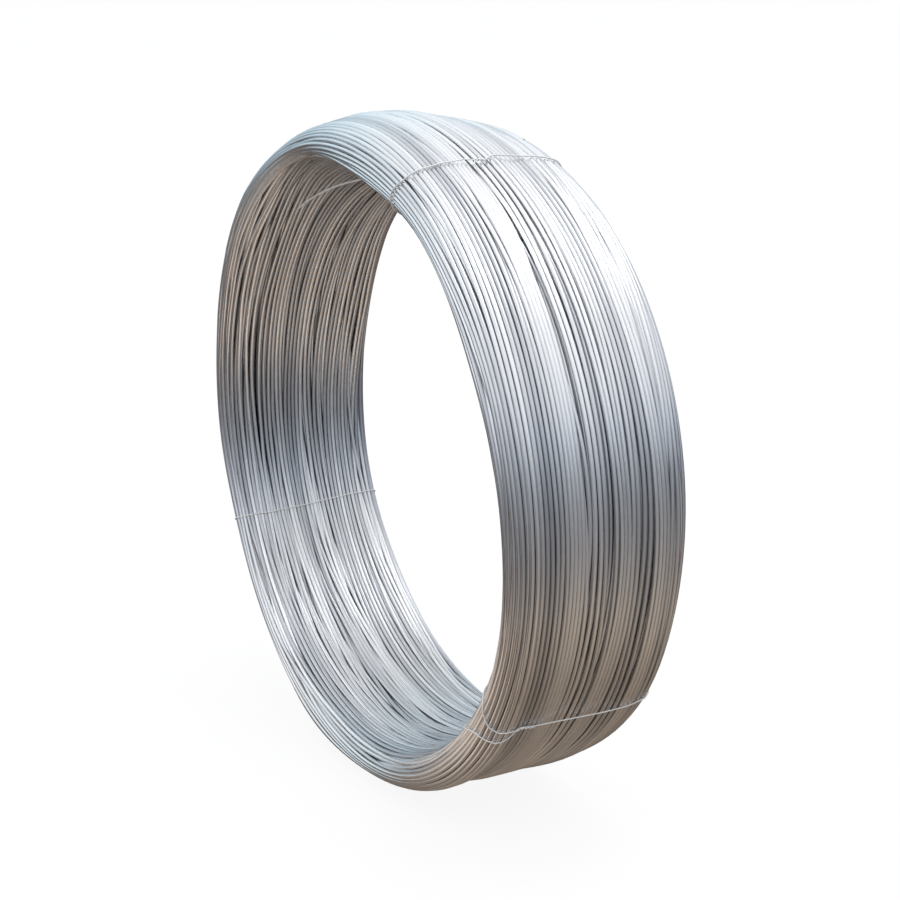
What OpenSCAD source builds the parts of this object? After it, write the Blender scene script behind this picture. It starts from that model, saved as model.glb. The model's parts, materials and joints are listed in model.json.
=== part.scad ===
// Coil of spring steel wire, standing on its rim, held by three tie wires.
// The ring's axis lies along Y. The origin is the floor point under the ring's centre.

/* [Coil] */
// Bore diameter inside the turns
bore_d = 500; // [300:5:800]
// Build-up of the turns from the bore to the outer face
build_up = 50; // [30:1:100]
// Width from end to end
coil_w = 160; // [80:5:300]
// Radius that rounds each end into the bore and the outer face
edge_r = 20; // [10:0.5:20]

/* [Turns] */
// Diameter of the spring wire
wire_d = 4; // [2:0.25:6]
// Gap between neighbouring turns
turn_gap = 0.2; // [0.1:0.05:1]
// Angle that each turn shows on either side of its crest
turn_show = 75; // [60:5:80]

/* [Crowns] */
// Crowns across the outer face, an odd number
crown_count = 3; // [1:2:5]
// Depth of the valleys between the crowns
crown_h = 3; // [0:0.25:4]
// Further fall of the outer face at its edges
shoulder_drop = 1.5; // [0:0.25:5]
// Turns from one furrow to the next
furrow_every = 6; // [4:1:12]
// Depth of the furrows, where bundles of turns part and the layer below shows
furrow_h = 3.5; // [0:0.25:4]

/* [Ties] */
// Diameter of the tie wire
tie_d = 1.5; // [0.8:0.1:2.5]
// Clearance between a tie and the turns that it is drawn into
tie_clear = 0.1; // [0.05:0.05:0.3]
// Place of the upper tie, in degrees from the top of the ring towards +X
upper_angle = 26; // [0:1:80]
// Place of the lower tie
lower_angle = 124; // [90:1:165]
// Place of the rear tie
rear_angle = 246; // [195:1:350]
// Length of the splice that twists a tie's two ends together
splice_l = 15; // [10:1:30]
// Half turns in the splice, an odd number
splice_half_turns = 5; // [3:2:7]
// Distance from the rounding of the near end to the splice
splice_inset = 2; // [1:0.5:10]

/* [Hidden] */

bore_r = bore_d / 2;
outer_r = bore_r + build_up;
half_w = coil_w / 2;
wire_r = wire_d / 2;
pitch = wire_d + turn_gap;

// Radius of the outer face where it meets the roundings
shoulder_r = outer_r - shoulder_drop - crown_h;
// Least flat left on an end between its two roundings
end_flat_min = 1;
// Rounding of the section, limited by the wall
edge = min(edge_r, (shoulder_r - bore_r - end_flat_min) / 2);
// Half width of the straight part of the bore
flat = half_w - edge;

// Groove that a tie draws into the turns, wide enough for its splice
groove_depth = tie_d + 2 * tie_clear;
groove_w = 2 * tie_d + 4 * tie_clear;
// Overhang of the groove cutter past the section
cut_over = 5;

// Steps in a quarter of a tie's bend and in a half turn of its splice
bend_steps = 8;
splice_steps = 4;
tie_sides = 8;

// Centres of the section's four roundings as [radius, y], from the near outer one round the near end
corners = [
    [shoulder_r - edge, -flat],
    [bore_r + edge, -flat],
    [bore_r + edge, flat],
    [shoulder_r - edge, flat]
];

function polar(a) = [cos(a), sin(a)];
function unit(v) = v / norm(v);

// Middles of n equal parts of the way from a to b
function spread(n, a, b) = [for (i = [0:1:n - 1]) a + (b - a) * (i + 0.5) / n];

// How late the outer face starts to fall towards its edges, so that all its crowns stand level
shoulder_power = 8;

// Radius of the outer face at a distance y from the middle
function face_r(y) =
    outer_r - shoulder_drop * pow(abs(y) / flat, shoulder_power)
    - crown_h * (1 + cos(180 * crown_count * (y + flat) / flat)) / 2;

// How much lower a turn lies that is i turns from the middle one of its row
function sunk(i) = i % furrow_every == 0 ? furrow_h : 0;

// Shown surface of the turn whose crest is at point p, facing direction a
function turn(p, a) = [
    for (i = [-3:3]) p + wire_r * (polar(a - turn_show * i / 3) - polar(a))
];

// Turns round corner k
corner_turns = floor((edge - wire_r) * PI / 2 / pitch);
function corner_outline(k) = [
    for (i = [0:1:corner_turns - 1])
        let (a = -90 * (k + (i + 0.5) / corner_turns))
            each turn(corners[k] + (edge - sunk(i - floor(corner_turns / 2))) * polar(a), a)
];

// Turns on the flat of an end, from radius a to radius b
end_turns = floor((shoulder_r - bore_r - 2 * edge) / pitch);
function end_outline(side, a, b) = [
    for (r = spread(end_turns, a, b)) each turn([r, side * half_w], side * 90)
];

// Turns on the outer face, an odd number so that its furrows lie the same to either side
face_turns = 2 * floor((2 * flat / pitch + 1) / 2) - 1;
face_outline = [
    for (i = [0:1:face_turns - 1])
        let (y = flat * (1 - 2 * (i + 0.5) / face_turns))
            each turn([face_r(y) - sunk(i - (face_turns - 1) / 2), y], 0)
];

// Section of the ring as [radius, y] points, with a plain bore wall
section = concat(
    corner_outline(0),
    end_outline(-1, shoulder_r - edge, bore_r + edge),
    corner_outline(1),
    [[bore_r, -flat], [bore_r, flat]],
    corner_outline(2),
    end_outline(1, bore_r + edge, shoulder_r - edge),
    corner_outline(3),
    face_outline
);

// Loop round the section at a depth under its outline, without the crowns
function loop(depth) = [
    for (k = [0:3], i = [0:bend_steps])
        corners[k] + (edge - depth) * polar(-90 * (k + i / bend_steps))
];

// Stands the plane of a tie at an angle on the ring: X across the tie, Z along the ring's radius
module at_angle(a)
    translate([0, 0, outer_r]) rotate([0, a, 0]) children();

module tie_groove()
    rotate([0, -90, 0])
        linear_extrude(groove_w, center = true)
            difference() {
                translate([bore_r - cut_over, -half_w - cut_over])
                    square([outer_r - bore_r + 2 * cut_over, coil_w + 2 * cut_over]);
                polygon(loop(groove_depth));
            }

module wire_coil()
    color("silver")
        difference() {
            translate([0, 0, outer_r])
                rotate([-90, 0, 0])
                    rotate_extrude($fn = 180) polygon(section);
            for (a = [upper_angle, lower_angle, rear_angle])
                at_angle(a) tie_groove();
        }

// Route of a tie's centre line as [across, y, radius]
tie_depth = tie_d / 2 + tie_clear;
seat_r = shoulder_r - tie_depth;
twist_r = (tie_d + tie_clear) / 2;
splice_from = -flat + splice_inset + splice_l;

// End of the wire in the splice, from far to near, with its last or first point on the seat
function splice_end(phase) = [
    for (i = [0:splice_steps * splice_half_turns])
        let (u = i / (splice_steps * splice_half_turns), a = phase + 180 * splice_half_turns * u)
            [twist_r * sin(a), splice_from - splice_l * u, seat_r + twist_r * (1 + cos(a))]
];

tie_route = concat(
    splice_end(180 - 180 * splice_half_turns),
    [for (p = loop(tie_depth)) [0, p[1], p[0]]],
    splice_end(180)
);

// Ring of points round a route at its point i
function tube_ring(route, i) =
    let (
        along = unit(route[min(i + 1, len(route) - 1)] - route[max(i - 1, 0)]),
        side = unit(cross(along, [1, 0, 0])),
        up = cross(side, along)
    )
    [for (s = [0:tie_sides - 1])
        route[i] + tie_d / 2 * (cos(360 * s / tie_sides) * side + sin(360 * s / tie_sides) * up)];

module tube(route) {
    last = len(route) - 1;
    points = [for (i = [0:last]) each tube_ring(route, i)];
    walls = [
        for (i = [0:last - 1], s = [0:tie_sides - 1])
            let (
                a = i * tie_sides + s,
                b = i * tie_sides + (s + 1) % tie_sides
            )
            each [[a, b, b + tie_sides], [a, b + tie_sides, a + tie_sides]]
    ];
    caps = [
        [for (s = [tie_sides - 1:-1:0]) s],
        [for (s = [0:tie_sides - 1]) last * tie_sides + s]
    ];
    polyhedron(points, concat(walls, caps));
}

module tie(a)
    color("gainsboro") at_angle(a) tube(tie_route);

module tie_upper() tie(upper_angle);
module tie_lower() tie(lower_angle);
module tie_rear() tie(rear_angle);

wire_coil();
tie_upper();
tie_lower();
tie_rear();
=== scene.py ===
import json
import math

import bpy
import numpy as np
from mathutils import Matrix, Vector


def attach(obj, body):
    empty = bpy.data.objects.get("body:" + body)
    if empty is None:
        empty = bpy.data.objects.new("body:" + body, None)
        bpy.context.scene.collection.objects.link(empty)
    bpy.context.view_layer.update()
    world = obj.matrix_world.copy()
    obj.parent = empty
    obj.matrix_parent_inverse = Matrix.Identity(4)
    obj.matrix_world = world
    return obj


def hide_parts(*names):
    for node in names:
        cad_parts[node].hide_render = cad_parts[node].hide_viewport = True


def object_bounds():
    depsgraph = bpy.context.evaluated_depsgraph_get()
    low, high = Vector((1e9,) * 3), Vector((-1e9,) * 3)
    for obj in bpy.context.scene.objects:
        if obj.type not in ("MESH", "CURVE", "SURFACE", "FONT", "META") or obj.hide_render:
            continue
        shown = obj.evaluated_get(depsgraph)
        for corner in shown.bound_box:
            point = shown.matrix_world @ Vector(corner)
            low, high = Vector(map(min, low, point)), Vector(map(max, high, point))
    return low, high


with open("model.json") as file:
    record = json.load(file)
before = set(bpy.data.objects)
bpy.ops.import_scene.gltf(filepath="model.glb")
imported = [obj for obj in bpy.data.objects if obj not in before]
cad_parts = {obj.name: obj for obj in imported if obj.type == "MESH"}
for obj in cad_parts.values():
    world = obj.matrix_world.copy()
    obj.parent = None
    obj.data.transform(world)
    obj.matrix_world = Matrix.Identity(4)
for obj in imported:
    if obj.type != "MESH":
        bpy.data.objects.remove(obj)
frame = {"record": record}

cad_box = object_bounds()


# ---- The wound wire ----
# One long spring steel wire, drawn hard and zinc coated, wound into a loose ring. Its turns are laid round
# the ring's section in layers, wander as they were dropped on, and are pushed apart until they lie side by
# side, drawn in at the ties. Geometry Nodes sweep the round wire along them.
MM = 0.001
wire_r = 2.0
outer_r = (cad_box[1][0] - cad_box[0][0]) / 2 / MM - 0.1
half_w = (cad_box[1][1] - cad_box[0][1]) / 2 / MM - 0.1
bore_r = frame["record"]["mounts"][0]["dims"]["r_mm"]
ring_z = (cad_box[0][2] + cad_box[1][2]) / 2
corner_r = 21.0
mean_fall = 2.0  # how far the outer face lies under its highest crest, on the whole
tie_angles = {"tie_upper": 26.0, "tie_lower": 124.0, "tie_rear": 246.0}

turns = 216
layers = 3
layer_step = 3.6
stations = 144  # points round the ring at which each turn is laid
rng = np.random.default_rng(11)
first_angle = math.radians(20)
angles = first_angle + np.arange(stations) * 2 * math.pi / stations

gap_count = 165
sag_depth = 1.6
tuck_depth = 6.0
pushes = 120  # steps in which touching turns are pushed apart

# Humps of the bundle's outline, in millimetres: height, and middle and spread in degrees from the top.
near_rim_humps = [(22.0, 344, 21), (4.0, 34, 14), (-4.0, 66, 13), (4.4, 107, 15), (3.0, 152, 24)]
far_rim_humps = [(-6.0, 291, 17), (-4.0, 299, 8)]
slack_humps = [(9.0, 201, 17), (5.0, 315, 16)]
valley_h = 3.0  # depth of the valleys between the three crowns
edge_fall = 2.0  # further fall of the outer face at its two edges
bore_shift = 6.0  # how far the bore's middle lies below the ring's


def tie_pull(angle):
    """How far the ties draw the turns in at these angles, from 0 to 1 at a tie."""
    pull = np.zeros_like(angle)
    for tie in tie_angles.values():
        away = (angle - math.radians(tie) + math.pi) % (2 * math.pi) - math.pi
        pull = np.maximum(pull, np.exp(-(away / math.radians(14)) ** 2))
    return pull


def near_angle(angle, middle, spread):
    """A smooth hump round an angle, 1 at its middle. Both angles are in degrees."""
    away = (np.degrees(angle) - middle + 180) % 360 - 180
    return np.exp(-(away / spread) ** 2)


def humps(angle, rows):
    """The sum of the humps at these angles, in millimetres."""
    return sum(height * near_angle(angle, middle, spread) for height, middle, spread in rows)


def outline(y, angle):
    """Outer radius, bore radius and half width of the bundle at a place across its width.

    The outer face is domed across at the head and uneven at the foot, and turns hang slack in places.
    """
    pull = tie_pull(angle)
    near_end, far_end = np.clip(-y / 60, 0, 1), np.clip(y / 60, 0, 1)
    head, foot = near_angle(angle, 350, 32), near_angle(angle, 156, 18)
    side = near_angle(angle, 88, 38)
    valley = valley_h * (1 + np.cos(3 * math.pi * (np.clip(y / 60, -1, 1) + 1))) / 2
    valley = valley + edge_fall * (1 - side) * (np.abs(y) / half_w) ** 4
    dome = np.where(y < 0, 2.8 * (y / 40) ** 2, 8.4 * (np.abs(y) / 40) ** 1.2)
    crown = 3.4 * near_angle(angle, 348, 12) * np.exp(-((y + 10) / 26) ** 2)
    lobes = 5.0 + 4.5 * np.exp(-((y + 44) / 13) ** 2) - 2.5 * np.exp(-((y - 38) / 20) ** 2)
    slack = humps(angle, slack_humps) * near_end
    slack = slack + 5.5 * near_angle(angle, 124, 14) * far_end + crown
    outer = outer_r - valley * (1 - head) * (1 - foot) - dome * head - lobes * foot + slack - 1.2 * pull
    outer = np.minimum(outer, outer_r / np.maximum(np.abs(np.cos(angle)), np.abs(np.sin(angle))))
    rims = humps(angle, near_rim_humps) * near_end, humps(angle, far_rim_humps) * far_end
    inner = bore_r - bore_shift * np.cos(angle) + rims[0] + rims[1]
    inner = inner + 1.0 * (np.abs(y) / half_w) ** 4 + 0.8 * pull
    return outer, inner, half_w - 1.5 * pull


def under_outline(r, y, angle):
    """Depth of places under the outline, and the outward direction there."""
    outer, inner, width = outline(y, angle)
    middle = (outer + inner) / 2
    past_r = np.abs(r - middle) - ((outer - inner) / 2 - corner_r)
    past_y = np.abs(y) - (width - corner_r)
    round_r, round_y = np.maximum(past_r, 0), np.maximum(past_y, 0)
    reach = np.hypot(round_r, round_y)
    depth = corner_r - reach - np.minimum(np.maximum(past_r, past_y), 0)
    reach = np.maximum(reach, 1e-9)
    out_r = np.where(reach > 1e-8, round_r / reach, past_r > past_y) * np.sign(r - middle)
    out_y = np.where(reach > 1e-8, round_y / reach, past_r <= past_y) * np.sign(y)
    return depth, out_r, out_y


def blend_weights(place):
    """Index and weights of the four knots that a smooth curve passes between, at each place."""
    k = np.floor(place).astype(int)
    t = place - k
    weights = (1 - t) ** 3, 3 * t ** 3 - 6 * t ** 2 + 4, -3 * t ** 3 + 3 * t ** 2 + 3 * t + 1, t ** 3
    return k, [w / 6 for w in weights]


def wander(cell):
    """Smooth random values along the wire, with about one swing for every cell of stations."""
    knots = rng.normal(size=int(turns * stations / cell) + 5)
    k, weights = blend_weights(np.arange(turns * stations) / cell)
    return sum(w * knots[k + i] for i, w in enumerate(weights))


def bundle_sway(turn_cell, angle_cells):
    """Smooth random values that neighbouring turns share, so that they move as one bundle."""
    knots = rng.normal(size=(int(turns / turn_cell) + 5, angle_cells))
    path = np.arange(turns * stations) / stations
    k, along = blend_weights(path / turn_cell)
    m, around = blend_weights((path % 1) * angle_cells)
    return sum(a * b * knots[k + i, (m + j) % angle_cells]
               for i, a in enumerate(along) for j, b in enumerate(around))


def open_gaps(count):
    """Shift round the section, in millimetres, that opens long gaps between turns and closes up the rest.

    A gap opens beside one turn, over a part of the ring, in every layer. Gaps are widest low on the +X side.
    """
    path = np.arange(turns * stations) / stations
    shift = np.zeros(len(path))
    per_layer = turns / layers
    for gap in range(count):
        crossing, at = rng.uniform(0, 1), rng.integers(0, int(per_layer))
        half_l, opening = rng.uniform(0.05, 0.2), rng.uniform(1.2, 4.0)
        opening += rng.uniform(1.2, 4.4) * near_angle(first_angle + 2 * math.pi * (crossing + 0.5), 116, 46)
        for layer in range(layers):
            middle = layer * per_layer + (at if layer % 2 == 0 else per_layer - at - round(2 * crossing))
            run = slice(max(int((middle - 6) * stations), 0), max(int((middle + 7) * stations), 0))
            off = path[run] - int(middle) - crossing
            away = np.abs((path[run] - crossing) % 1 - 0.5) / half_l
            lens = np.where(away < 1, np.cos(math.pi / 2 * np.minimum(away, 1)) ** 2, 0)
            shift[run] += opening / 2 * lens * np.sign(off) * np.exp(-np.abs(off) / 1.7) * (-1) ** layer
    return shift


def section_starts():
    """Where the section's four faces and their bends start along the way round it, and its length."""
    face_l = 2 * (half_w - corner_r)
    end_l = outer_r - mean_fall - bore_r - 2 * corner_r
    bend_l = math.pi / 2 * corner_r
    return np.concatenate([[0], np.cumsum([face_l, bend_l, end_l, bend_l] * 2)])


def lay_round_section(share, depth):
    """Places at a share of the way round the section, from the far edge of the outer face, at a depth."""
    starts = section_starts()
    s = (share % 1) * starts[-1]
    side = np.searchsorted(starts, s, side="right") - 1
    s = s - starts[side]
    across = half_w - corner_r
    out, low = outer_r - mean_fall - corner_r, bore_r + corner_r
    bend = s / corner_r
    reach = corner_r - depth
    r = np.select(
        [side == i for i in range(8)],
        [out + reach, out + reach * np.cos(bend), out - s, low - reach * np.sin(bend),
         low - reach, low - reach * np.cos(bend), low + s, out + reach * np.sin(bend)])
    y = np.select(
        [side == i for i in range(8)],
        [across - s, -across - reach * np.sin(bend), -across - reach + 0 * s, -across - reach * np.cos(bend),
         s - across, across + reach * np.sin(bend), across + reach + 0 * s, across + reach * np.cos(bend)])
    return r, y


def wind():
    """Places of every turn at every station, as radius and distance across, in millimetres.

    The turns are laid in layers and then pushed apart a little at a time. Low on the +X side the turns below
    the surface sag away from it, and the wire's free end is tucked under the others.
    """
    count = turns * stations
    angle = np.tile(angles, turns)
    place = np.arange(count) / count * layers
    layer = np.floor(place)
    share = np.where(layer % 2 == 0, place - layer, 1 + layer - place)
    # Bundles of about eight and of three turns sway round the section, and single turns a little.
    sway = 18.0 * bundle_sway(8, 5) + 4.0 * bundle_sway(3, 5) + 1.2 * wander(80)
    share += (sway + open_gaps(gap_count)) / section_starts()[-1]
    depth = wire_r - 0.8 + layer * layer_step + 2.7 * bundle_sway(2, 5) + 1.4 * wander(60)
    r = lay_round_section(share, depth)[0]
    sagging = near_angle(angle, 110, 32) * (r > (outer_r + bore_r) / 2)
    tucked = np.clip(1 - np.arange(count) / (0.25 * stations), 0, 1)
    depth = depth + sag_depth * sagging * (layer > 0) + tuck_depth * tucked
    depth = np.clip(depth, wire_r, wire_r + layers * layer_step)
    places = np.stack(lay_round_section(share, depth), axis=1)
    stiffness = np.exp(-0.5 * (np.arange(-14, 15) / 6.0) ** 2)
    stiffness /= stiffness.sum()
    deepest = wire_r + layer_step * (layers - 1) + 1.5
    lift = np.where(layer < 1, 0.03, 0.012 * (1 - sagging)) * (tucked == 0)
    for step in range(pushes):
        if step % 8 == 0:
            pairs = []
            for station in range(stations):
                here = places[station::stations]
                gap = here[:, None, :] - here[None, :, :]
                near = np.triu((gap ** 2).sum(axis=2) < (3.4 * wire_r) ** 2, 1)
                pairs.append(np.stack(np.nonzero(near)) * stations + station)
            a, b = np.concatenate(pairs, axis=1)
        gap = places[a] - places[b]
        apart = np.maximum(np.hypot(gap[:, 0], gap[:, 1]), 1e-6)
        push = gap / apart[:, None] * np.maximum(2 * wire_r + 0.1 - apart, 0)[:, None] / 2
        depth, out_r, out_y = under_outline(places[:, 0], places[:, 1], angle)
        outward = (
            np.minimum(depth - wire_r, 0)
            + 0.5 * np.maximum(depth - deepest, 0)
            + lift * (depth > wire_r)
        )
        for axis, out in enumerate((out_r, out_y)):
            shift = np.bincount(a, push[:, axis], count) - np.bincount(b, push[:, axis], count)
            places[:, axis] += 1.3 * np.convolve(shift + outward * out, stiffness, mode="same")
    depth, out_r, out_y = under_outline(places[:, 0], places[:, 1], angle)
    outside = np.minimum(depth - wire_r, 0)
    return places + np.stack([out_r, out_y], axis=1) * outside[:, None], angle


def in_frame(places, angle):
    """Points in metres in the row's frame."""
    r = places[:, 0] * MM
    return np.stack([r * np.sin(angle), places[:, 1] * MM, ring_z + r * np.cos(angle)], axis=1)


def put(tree, kind, settings=None, inputs=None):
    """One node, with its settings and with its inputs set or linked."""
    node = tree.nodes.new(kind)
    for name, value in (settings or {}).items():
        setattr(node, name, value)
    for name, value in (inputs or {}).items():
        socket = node.inputs[name]
        if isinstance(value, bpy.types.NodeSocket):
            tree.links.new(value, socket)
        else:
            socket.default_value = value
    return node


def linear(hex_colour):
    """Linear colour of an sRGB hex value."""
    parts = [int(hex_colour[i:i + 2], 16) / 255 for i in (1, 3, 5)]
    return [p / 12.92 if p <= 0.04045 else ((p + 0.055) / 1.055) ** 2.4 for p in parts] + [1.0]


def drawn_streaks(tree, length, pitch):
    """Noise drawn out round the ring's axis: streaks of this length and pitch, in metres.

    Real die lines are finer than these, too fine to show, so they are drawn coarser.
    """
    mean_r = 0.28
    where = put(tree, "ShaderNodeTexCoord")
    split = put(tree, "ShaderNodeSeparateXYZ", None, {0: where.outputs["Object"]})
    x, y = split.outputs["X"], split.outputs["Y"]
    z = put(tree, "ShaderNodeMath", {"operation": "SUBTRACT"}, {0: split.outputs["Z"], 1: ring_z}).outputs[0]
    flat = put(tree, "ShaderNodeCombineXYZ", None, {"X": x, "Y": z})
    radius = put(tree, "ShaderNodeVectorMath", {"operation": "LENGTH"}, {0: flat.outputs[0]}).outputs["Value"]
    way = put(tree, "ShaderNodeVectorMath", {"operation": "NORMALIZE"}, {0: flat.outputs[0]}).outputs[0]
    turned = put(tree, "ShaderNodeVectorMath", {"operation": "SCALE"},
                 {0: way, "Scale": mean_r / length}).outputs[0]
    rise = put(tree, "ShaderNodeMath", {"operation": "DIVIDE"}, {0: y, 1: pitch}).outputs[0]
    up = put(tree, "ShaderNodeCombineXYZ", None, {"Z": rise}).outputs[0]
    place = put(tree, "ShaderNodeVectorMath", None, {0: turned, 1: up}).outputs[0]
    deep = put(tree, "ShaderNodeMath", {"operation": "DIVIDE"}, {0: radius, 1: pitch}).outputs[0]
    noise = put(tree, "ShaderNodeTexNoise", {"noise_dimensions": "4D"},
                {"Vector": place, "W": deep, "Scale": 1.0, "Detail": 2.0})
    return noise.outputs["Fac"]


def galvanised_wire():
    """Drawn spring steel with a hot-dip zinc coat: satin, a little mottled, streaked along by the die."""
    material = bpy.data.materials.new("galvanised_spring_steel")
    material.use_nodes = True
    tree = material.node_tree
    surface = tree.nodes["Principled BSDF"]
    surface.inputs["Metallic"].default_value = 1.0
    # The shade attribute carries each turn's own random tone, plus painted shade that darkens the deeper
    # layers and the buried turns.
    turn_tone_and_depth_shade = put(tree, "ShaderNodeAttribute", {"attribute_name": "shade"}).outputs["Fac"]
    mottle = drawn_streaks(tree, 0.03, 0.003)
    streak = drawn_streaks(tree, 0.06, 0.0009)
    mixed = put(tree, "ShaderNodeMath", {"operation": "MULTIPLY_ADD"},
                {0: mottle, 1: 0.5, 2: -0.25}).outputs[0]
    tone = put(tree, "ShaderNodeMath", {"use_clamp": True}, {0: mixed, 1: turn_tone_and_depth_shade}).outputs[0]
    colour = put(tree, "ShaderNodeMix", {"data_type": "RGBA"}, {0: tone})
    colour.inputs[6].default_value = linear("#c0c3c7")
    colour.inputs[7].default_value = linear("#f0f1f2")
    rough = put(tree, "ShaderNodeMapRange", None, {"Value": streak})
    rough.inputs["From Min"].default_value = 0.3
    rough.inputs["From Max"].default_value = 0.7
    rough.inputs["To Min"].default_value = 0.24
    rough.inputs["To Max"].default_value = 0.36
    bump = put(tree, "ShaderNodeBump", None, {"Strength": 0.25, "Distance": 0.0002, "Height": streak})
    tree.links.new(colour.outputs[2], surface.inputs["Base Color"])
    tree.links.new(rough.outputs["Result"], surface.inputs["Roughness"])
    tree.links.new(bump.outputs["Normal"], surface.inputs["Normal"])
    return material


def round_wire_tree():
    """Sweeps a round wire along edges, with its ends closed."""
    tree = bpy.data.node_groups.new("round_wire", "GeometryNodeTree")
    sockets = tree.interface
    sockets.new_socket("Geometry", in_out="INPUT", socket_type="NodeSocketGeometry")
    sockets.new_socket("Wire radius", in_out="INPUT", socket_type="NodeSocketFloat")
    sockets.new_socket("Sides", in_out="INPUT", socket_type="NodeSocketInt")
    sockets.new_socket("Finish", in_out="INPUT", socket_type="NodeSocketMaterial")
    sockets.new_socket("Geometry", in_out="OUTPUT", socket_type="NodeSocketGeometry")
    given = put(tree, "NodeGroupInput")
    path = put(tree, "GeometryNodeMeshToCurve", None, {"Mesh": given.outputs["Geometry"]})
    ring = put(tree, "GeometryNodeCurvePrimitiveCircle", None,
               {"Resolution": given.outputs["Sides"], "Radius": given.outputs["Wire radius"]})
    sweep = put(tree, "GeometryNodeCurveToMesh", None,
                {"Curve": path.outputs["Curve"], "Profile Curve": ring.outputs["Curve"], "Fill Caps": True})
    smooth = put(tree, "GeometryNodeSetShadeSmooth", None, {"Geometry": sweep.outputs["Mesh"]})
    real = put(tree, "GeometryNodeRealizeInstances", None, {"Geometry": smooth.outputs["Geometry"]})
    finish = put(tree, "GeometryNodeSetMaterial", None,
                 {"Geometry": real.outputs["Geometry"], "Material": given.outputs["Finish"]})
    put(tree, "NodeGroupOutput", None, {"Geometry": finish.outputs["Geometry"]})
    return tree


def swept_wire(name, points, shades, radius, sides, material, breaks=()):
    """A plain mesh of round wire along the points, cut where a break names its first point."""
    path = bpy.data.meshes.new(name + "_path")
    runs = [i for i in range(len(points) - 1) if i + 1 not in breaks]
    path.from_pydata(points.tolist(), [(i, i + 1) for i in runs], [])
    path.attributes.new("shade", "FLOAT", "POINT").data.foreach_set("value", shades.astype(np.float32))
    carrier = bpy.data.objects.new(name + "_carrier", path)
    bpy.context.scene.collection.objects.link(carrier)
    sweep = carrier.modifiers.new("sweep", "NODES")
    sweep.node_group = wire_tree
    values = {"Wire radius": radius, "Sides": sides, "Finish": material}
    for item in wire_tree.interface.items_tree:
        if item.in_out == "INPUT" and item.name in values:
            sweep[item.identifier] = values[item.name]
    evaluated = carrier.evaluated_get(bpy.context.evaluated_depsgraph_get())
    mesh = bpy.data.meshes.new_from_object(evaluated)
    mesh.name = name
    bpy.data.objects.remove(carrier)
    bpy.data.meshes.remove(path)
    piece = bpy.data.objects.new(name, mesh)
    bpy.context.scene.collection.objects.link(piece)
    return piece


wire_tree = round_wire_tree()
steel = galvanised_wire()
places, turn_angles = wind()
points = in_frame(places, turn_angles)
# Each turn gets a tone that wanders at random along the wire, and each deeper layer is painted darker:
# painted shade for the gaps between the turns above.
shades = 0.66 + 0.5 * wander(150) - 0.1 * (np.arange(len(points)) * layers // len(points))
shades = np.clip(shades, 0, 1)
per_layer = len(points) // layers
for layer, name in enumerate(["surface_turns", "second_turns", "third_turns"]):
    run = slice(layer * per_layer, min((layer + 1) * per_layer + 1, len(points)))
    piece = swept_wire(name, points[run], shades[run], wire_r * MM, 8, steel)
    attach(piece, "root")
    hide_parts("wire_coil")


# ---- The buried turns ----
# The same wire, in the middle of the bundle, wound first. They hardly show, so they are plain rings on a
# close lattice, and nothing shines through the gaps between the turns above them.
lattice_step = 4.4
rows = 30
rings_in_row = 5
first_row_y = -63.0
bore_cover = 14.5  # room left for the wound turns between the rings and the bore
outer_cover = 21.0  # and between the rings and the outer face
ring_points = 73  # the last point of a ring lies on its first
ring_angles = first_angle + np.arange(ring_points) * 2 * math.pi / (ring_points - 1)
buried = []
for row in range(rows):
    y = np.full(ring_points, first_row_y + row * lattice_step)
    for share in np.linspace(0.0, 1.0, rings_in_row) + (row % 2) * 0.12:
        r = (1 - share) * (outline(y, ring_angles)[1] + bore_cover) + share * (outer_r - outer_cover)
        buried.append(in_frame(np.stack([r, y], axis=1), ring_angles))
ring_starts = set(range(ring_points, ring_points * len(buried), ring_points))
# The buried turns get the lowest tone, the darkest wire colour: painted shade for lying deep under the other
# turns.
piece = swept_wire("buried_turns", np.concatenate(buried), np.full(ring_points * len(buried), 0.0),
                   wire_r * MM, 5, steel, ring_starts)
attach(piece, "root")
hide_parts("wire_coil")


# ---- The ties ----
# Three ties of soft wire with a white bloom. Each is pulled tight round the bundle and closed by twisting its
# two ends together. The lower tie keeps a loose tail, which lies over the near end of the bundle.
tie_r = 0.6
twist_pitch = 6.0
tie_clear = 0.05
outside_r = 275.0  # what lies further out is on the outer half of the bundle


def pulled_round(angle):
    """The closed line of a tie's centre pulled tight round the turns at an angle, in degrees."""
    centres = []
    for near in (-1.2, 0.0, 1.2):
        at = (math.radians(angle + near) - first_angle) / (2 * math.pi) % 1 * stations
        low = np.arange(turns - 1) * stations + int(at)
        centres.append(places[low] + (at - int(at)) * (places[low + 1] - places[low]))
    centres = sorted(map(tuple, np.concatenate(centres)))
    hull = []
    for side in (centres, centres[::-1]):
        edge = []
        for p in side:
            while len(edge) > 1 and ((edge[-1][0] - edge[-2][0]) * (p[1] - edge[-2][1])
                                     - (edge[-1][1] - edge[-2][1]) * (p[0] - edge[-2][0])) <= 0:
                edge.pop()
            edge.append(p)
        hull += edge[:-1]
    hull = np.array(hull)
    ahead = np.roll(hull, -1, axis=0) - hull
    out = np.stack([ahead[:, 1], -ahead[:, 0]], axis=1) / np.hypot(ahead[:, 0], ahead[:, 1])[:, None]
    reach = wire_r + tie_r + tie_clear
    line = []
    for corner, before, after in zip(hull, np.roll(out, 1, axis=0), out):
        for share in (0.0, 0.25, 0.5, 0.75, 1.0):
            way = before + share * (after - before)
            line.append(corner + reach * way / np.hypot(*way))
    return np.array(line)


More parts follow.
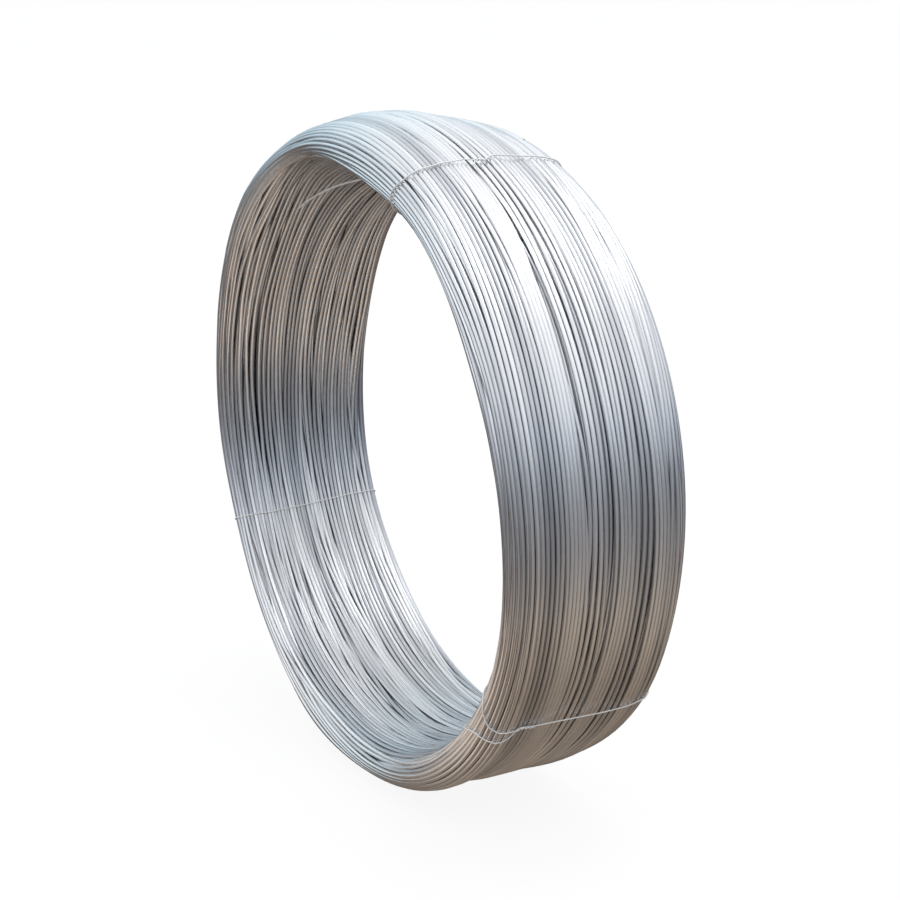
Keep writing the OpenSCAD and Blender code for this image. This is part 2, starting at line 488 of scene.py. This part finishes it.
def on_bundle(along, angle):
    """Place on a tie's line, at a distance along from the middle of the outer face towards the near end."""
    line = pulled_round(angle)[::-1]
    line = np.roll(line, -np.argmin(np.where(line[:, 0] > outside_r, np.abs(line[:, 1]), 999)), axis=0)
    line = np.concatenate([line, line[:1]])
    steps = np.hypot(*np.diff(line, axis=0).T)
    run = np.concatenate([[0], np.cumsum(steps)])
    start = line[0][1]
    at = (along + start) % run[-1]
    spot = np.array([np.interp(at, run, line[:, i]) for i in range(2)])
    ahead = np.array([np.interp((at + 0.5) % run[-1], run, line[:, i]) for i in range(2)]) - spot
    out = np.array([-ahead[1], ahead[0]]) / max(np.hypot(*ahead), 1e-9)
    return spot, out, run[-1]


def tie(name, twist_from, twist_to, lean, tail):
    """A tie round the bundle, with its twist between two distances along it, in millimetres.

    Lean gives its angle in degrees at distances along it. Tail gives the loose end as distance, angle and
    height over the turns.
    """
    round_l = on_bundle(0.0, tie_angles[name])[2]
    at_lean, lean_angles = np.array(lean).T
    route = []

    def add(along, lift, side):
        angle = np.interp(along % round_l, at_lean, lean_angles, period=round_l)
        spot, out, _ = on_bundle(along, angle)
        spot = spot + out * lift
        turned = math.radians(angle) + side / spot[0]
        route.append(in_frame(spot[None, :], np.array([turned]))[0])

    def twist(start, stop, phase):
        for along in np.arange(start, stop, 0.7):
            turned = phase + (along - start) / twist_pitch * 2 * math.pi
            add(along, tie_r * 1.1 * (1 + math.sin(turned)), tie_r * 1.1 * math.cos(turned))

    twist(twist_from, twist_to, 0.0)
    for along in np.arange(twist_to + 2.0, twist_from + round_l - 2.0, 2.0):
        add(along, 0.0, 0.0)
    twist(twist_from + round_l, twist_to + round_l, math.pi)
    for along, angle, lift in tail:
        spot, out, _ = on_bundle(along, angle)
        route.append(in_frame((spot + out * lift)[None, :], np.array([math.radians(angle)]))[0])
    route = np.array(route)
    piece = swept_wire(name + "_wire", route, np.full(len(route), 0.8), tie_r * MM, 8, soft_wire)
    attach(piece, "root")
    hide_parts(name)


def bloomed_tie_wire():
    """Soft annealed wire whose zinc has a white bloom: paler and duller than the spring wire."""
    material = bpy.data.materials.new("white_bloomed_zinc_tie_wire")
    material.use_nodes = True
    tree = material.node_tree
    surface = tree.nodes["Principled BSDF"]
    surface.inputs["Metallic"].default_value = 0.15
    streak = drawn_streaks(tree, 0.004, 0.004)
    colour = put(tree, "ShaderNodeMix", {"data_type": "RGBA"}, {0: streak})
    colour.inputs[6].default_value = linear("#dcdcda")
    colour.inputs[7].default_value = linear("#f2f1ef")
    tree.links.new(colour.outputs[2], surface.inputs["Base Color"])
    surface.inputs["Roughness"].default_value = 0.5
    return material


soft_wire = bloomed_tie_wire()
tie("tie_upper", -2.0, 13.0,
    [(-37, 26.3), (-7, 25.6), (6, 27.2), (22, 26.1), (37, 26.4), (53, 26.6), (70, 26.5), (78, 26.4),
     (94, 25.0), (190, 24.5), (290, 26.0)],
    [(15.5, 27.2, 1.0), (18.0, 27.8, 0.5), (20.0, 28.2, 0.3)])
tie("tie_lower", 43.0, 58.0,
    [(-23, 124.4), (17, 123.9), (46, 123.6), (54, 123.7), (60, 124.7), (70, 125.3), (80, 125.0), (87, 123.8),
     (94, 122.2), (105, 121.2), (190, 121.6), (290, 124.2)],
    [(59.0, 125.2, 1.0), (61.0, 126.4, 0.6), (65.0, 127.6, 0.4), (69.0, 128.1, 0.2), (75.0, 128.2, 0.0),
     (81.0, 128.4, 0.0), (88.0, 128.8, 0.0), (94.0, 130.0, 0.0), (100.0, 132.0, 0.0), (106.0, 133.6, 0.0),
     (112.0, 134.6, 0.0), (118.0, 135.2, 0.0)])
tie("tie_rear", 43.0, 58.0,
    [(0, 246.0), (94, 246.0), (131, 245.4), (174, 245.6), (221, 246.1), (300, 246.0)],
    [(60.5, 246.6, 1.0), (63.0, 247.2, 0.4), (65.0, 247.6, 0.4)])


# ---- The loose end of the upper tie ----
# A tail of soft tie wire, left inside the bore. It comes from under the upper tie, lies slantwise under the
# bore wall and ends free. It is swept like the ties, through listed places: angle in degrees, radius
# and distance across.
end_r = 1.0
end_points = 80
end_route = np.array([
    [328.0, 248.0, -45.0], [331.5, 246.8, -43.0], [335.5, 246.0, -39.5], [340.0, 245.6, -34.5],
    [344.5, 245.2, -28.0], [348.0, 245.2, -20.0], [350.8, 244.8, -11.5], [354.0, 244.2, -2.0],
    [357.7, 243.2, 7.0], [362.0, 241.8, 15.5], [367.0, 241.3, 24.0], [373.0, 243.5, 31.0],
    [379.0, 247.0, 36.0], [384.0, 250.0, 39.0]])
spots = np.linspace(0, len(end_route) - 1, end_points)
knots = np.arange(len(end_route))
smooth_route = np.stack([np.interp(spots, knots, end_route[:, i]) for i in range(3)], axis=1)
for again in range(6):
    smooth_route[1:-1] += 0.5 * ((smooth_route[:-2] + smooth_route[2:]) / 2 - smooth_route[1:-1])
piece = swept_wire("loose_tie_end", in_frame(smooth_route[:, 1:], np.radians(smooth_route[:, 0])),
                   np.full(end_points, 0.8), end_r * MM, 8, soft_wire)
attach(piece, "root")
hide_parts("tie_upper")


# ---- The floor, the light and the camera ----
# A plain pale floor that rises into a backdrop far away, and a sky that is darkest at the horizon and warm
# from below, which the wire mirrors instead of the floor. A round softbox hangs over the ring, a flat one
# stands in front of its near end, and a card on the floor throws a little warm light up.
floor_r = 3.0
backdrop_reach = 11.0
backdrop_h = 8.0
floor_rings = 33
floor_sides = 96
sweep = []
for share in np.linspace(0, 1, floor_rings):
    r = floor_r + backdrop_reach * share
    z = backdrop_h * share ** 3.5
    sweep.append([(r * math.cos(a), r * math.sin(a), z)
                  for a in np.linspace(0, 2 * math.pi, floor_sides + 1)[:-1]])
faces = [tuple(range(floor_sides))]
for ring in range(floor_rings - 1):
    low, high = ring * floor_sides, (ring + 1) * floor_sides
    for i in range(floor_sides):
        j = (i + 1) % floor_sides
        faces.append((low + j, low + i, high + i, high + j))
floor_mesh = bpy.data.meshes.new("floor")
floor_mesh.from_pydata([p for ring in sweep for p in ring], [], faces)
floor_mesh.shade_smooth()
floor = bpy.data.objects.new("floor", floor_mesh)
bpy.context.scene.collection.objects.link(floor)
pale = bpy.data.materials.new("pale_matt_paint")
pale.use_nodes = True
paint = pale.node_tree.nodes["Principled BSDF"]
paint.inputs["Base Color"].default_value = linear("#595959")
paint.inputs["Roughness"].default_value = 0.9
paint.inputs["Specular IOR Level"].default_value = 0.0
paint.inputs["Emission Color"].default_value = linear("#ffffff")
paint.inputs["Emission Strength"].default_value = 0.9
floor_mesh.materials.append(pale)
floor.visible_glossy = False
floor.visible_diffuse = False

world = bpy.data.worlds.new("studio")
bpy.context.scene.world = world
world.use_nodes = True
tree = world.node_tree
way = put(tree, "ShaderNodeTexCoord")
split = put(tree, "ShaderNodeSeparateXYZ", None, {0: way.outputs["Generated"]})


def fade(value, start, stop):
    """A smooth change from 0 to 1 as the value goes from start to stop."""
    node = put(tree, "ShaderNodeMapRange", {"interpolation_type": "SMOOTHSTEP"}, {"Value": value})
    node.inputs["From Min"].default_value = start
    node.inputs["From Max"].default_value = stop
    return node.outputs["Result"]


def light_by_height(stops):
    """Colour of the light from straight below, -1, to straight above, 1."""
    place = put(tree, "ShaderNodeMapRange", None, {"Value": height})
    place.inputs["From Min"].default_value = -1.0
    ramp = put(tree, "ShaderNodeValToRGB", None, {"Fac": place.outputs["Result"]})
    while len(ramp.color_ramp.elements) < len(stops):
        ramp.color_ramp.elements.new(0.5)
    for element, (stop, colour) in zip(ramp.color_ramp.elements, stops):
        element.position = (stop + 1) / 2
        element.color = linear(colour)
    return ramp.outputs["Color"]


def both(first, second):
    """One value times another."""
    return put(tree, "ShaderNodeMath", {"operation": "MULTIPLY"}, {0: first, 1: second}).outputs[0]


def tint(colour, amount, shade):
    """The colour multiplied by a shade, as far as the amount says."""
    mix = put(tree, "ShaderNodeMix", {"data_type": "RGBA", "blend_type": "MULTIPLY"}, {0: amount, 6: colour})
    mix.inputs[7].default_value = linear(shade)
    return mix.outputs[2]


to_x, to_y, to_z = split.outputs["X"], split.outputs["Y"], split.outputs["Z"]
# Towards the open side and the left the light is that of a place higher up.
open_side = both(both(fade(to_x, 0.6, 0.15), fade(to_x, -0.97, -0.75)), fade(to_z, -0.08, 0.12))
height = put(tree, "ShaderNodeMath", {"operation": "MULTIPLY_ADD"},
             {0: open_side, 1: 0.15, 2: to_z}).outputs[0]
left_side = both(both(fade(to_x, -0.25, -0.5), fade(to_y, -0.3, -0.55)), fade(to_z, -0.5, -0.3))
height = put(tree, "ShaderNodeMath", {"operation": "MULTIPLY_ADD"},
             {0: left_side, 1: 0.22, 2: height}).outputs[0]
# The light in front of the ring, and the darker light behind it.
near_side = light_by_height([
    (-1.0, "#83756a"), (-0.9, "#8a7c6f"), (-0.72, "#ae9f8f"), (-0.5, "#918b87"), (-0.2, "#7d7f85"),
    (-0.05, "#8a8e95"), (0.14, "#b4bdc8"), (0.3, "#dfe4ec"), (0.5, "#f2f3f6"), (1.0, "#f6f6f9")])
far_side = light_by_height([
    (-1.0, "#736860"), (-0.78, "#776b60"), (-0.5, "#655e58"), (-0.2, "#4f5056"), (-0.05, "#62666e"),
    (0.14, "#a2abb6"), (0.3, "#d2d9e2"), (0.5, "#f0f2f7"), (1.0, "#f6f6f9")])
behind = put(tree, "ShaderNodeVectorMath", {"operation": "DOT_PRODUCT"},
             {0: way.outputs["Generated"], 1: (-0.7, 0.7, 0.0)}).outputs["Value"]
turned = put(tree, "ShaderNodeMix", {"data_type": "RGBA"}, {0: fade(behind, 0.0, 0.65)})
tree.links.new(near_side, turned.inputs[6])
tree.links.new(far_side, turned.inputs[7])
# Duller light low down, most of all in front, and cooler light on the left.
low_band = both(both(fade(to_x, 0.55, 0.1), fade(to_z, -0.08, -0.26)), fade(to_z, -0.78, -0.5))
near_low = both(both(both(fade(to_y, -0.25, -0.55), fade(to_x, 0.5, 0.1)), fade(to_x, -0.4, -0.15)),
                both(fade(to_z, -0.15, -0.35), fade(to_z, -0.92, -0.8)))
cool_side = both(both(fade(to_x, -0.2, -0.8), fade(to_z, 0.85, 0.3)), fade(to_z, -0.15, 0.02))
ground = tint(tint(turned.outputs[2], low_band, "#d4c8bf"), near_low, "#94877e")
light_colour = tint(ground, cool_side, "#e8fbff")
sky = tree.nodes["Background"]
tree.links.new(light_colour, sky.inputs["Color"])
sky.inputs["Strength"].default_value = 1.19



def area_lamp(name, shape, size, energy, place, turn):
    """An area lamp at a place in metres, turned by these degrees."""
    light = bpy.data.lights.new(name, "AREA")
    light.shape = shape
    light.size = size[0]
    light.size_y = size[-1]
    light.energy = energy
    lamp = bpy.data.objects.new(name, light)
    lamp.location = place
    lamp.rotation_euler = [math.radians(angle) for angle in turn]
    bpy.context.scene.collection.objects.link(lamp)
    return lamp


area_lamp("overhead_softbox", "DISK", [2.0], 25, (0.8, 0.5, 3.0), (-9, 15, 0))
card = area_lamp("floor_card", "RECTANGLE", [0.5, 0.34], 0.34, (-0.08, -0.3, 0.01), (180, 0, 0))
card.data.color = linear("#ffe8d4")[:3]
card.visible_camera = False
softbox = area_lamp("near_softbox", "RECTANGLE", [1.05, 0.8], 0.75, (-0.38, -1.5, 0.85), (70, 0, -14))
softbox.visible_camera = False
bpy.context.scene.view_settings.view_transform = "Standard"

heading = math.radians(60.29)
lift = math.radians(14.71)
lean = math.radians(-1.914)
distance = 1.514
back = np.array([math.sin(heading) * math.cos(lift), -math.cos(heading) * math.cos(lift), math.sin(lift)])
right = np.array([math.cos(heading), math.sin(heading), 0.0])
up = np.cross(back, right)
stand = np.array([0, 0, ring_z]) + distance * back + 0.0272 * right - 0.0007 * up
across = math.cos(lean) * right + math.sin(lean) * up
upward = -math.sin(lean) * right + math.cos(lean) * up
view = bpy.data.cameras.new("camera")
view.sensor_width = 36
view.lens = 67.36
camera = bpy.data.objects.new("camera", view)
facing = Matrix([across, upward, back]).transposed()
camera.matrix_world = Matrix.Translation(stand) @ facing.to_4x4()
bpy.context.scene.collection.objects.link(camera)
bpy.context.scene.camera = camera
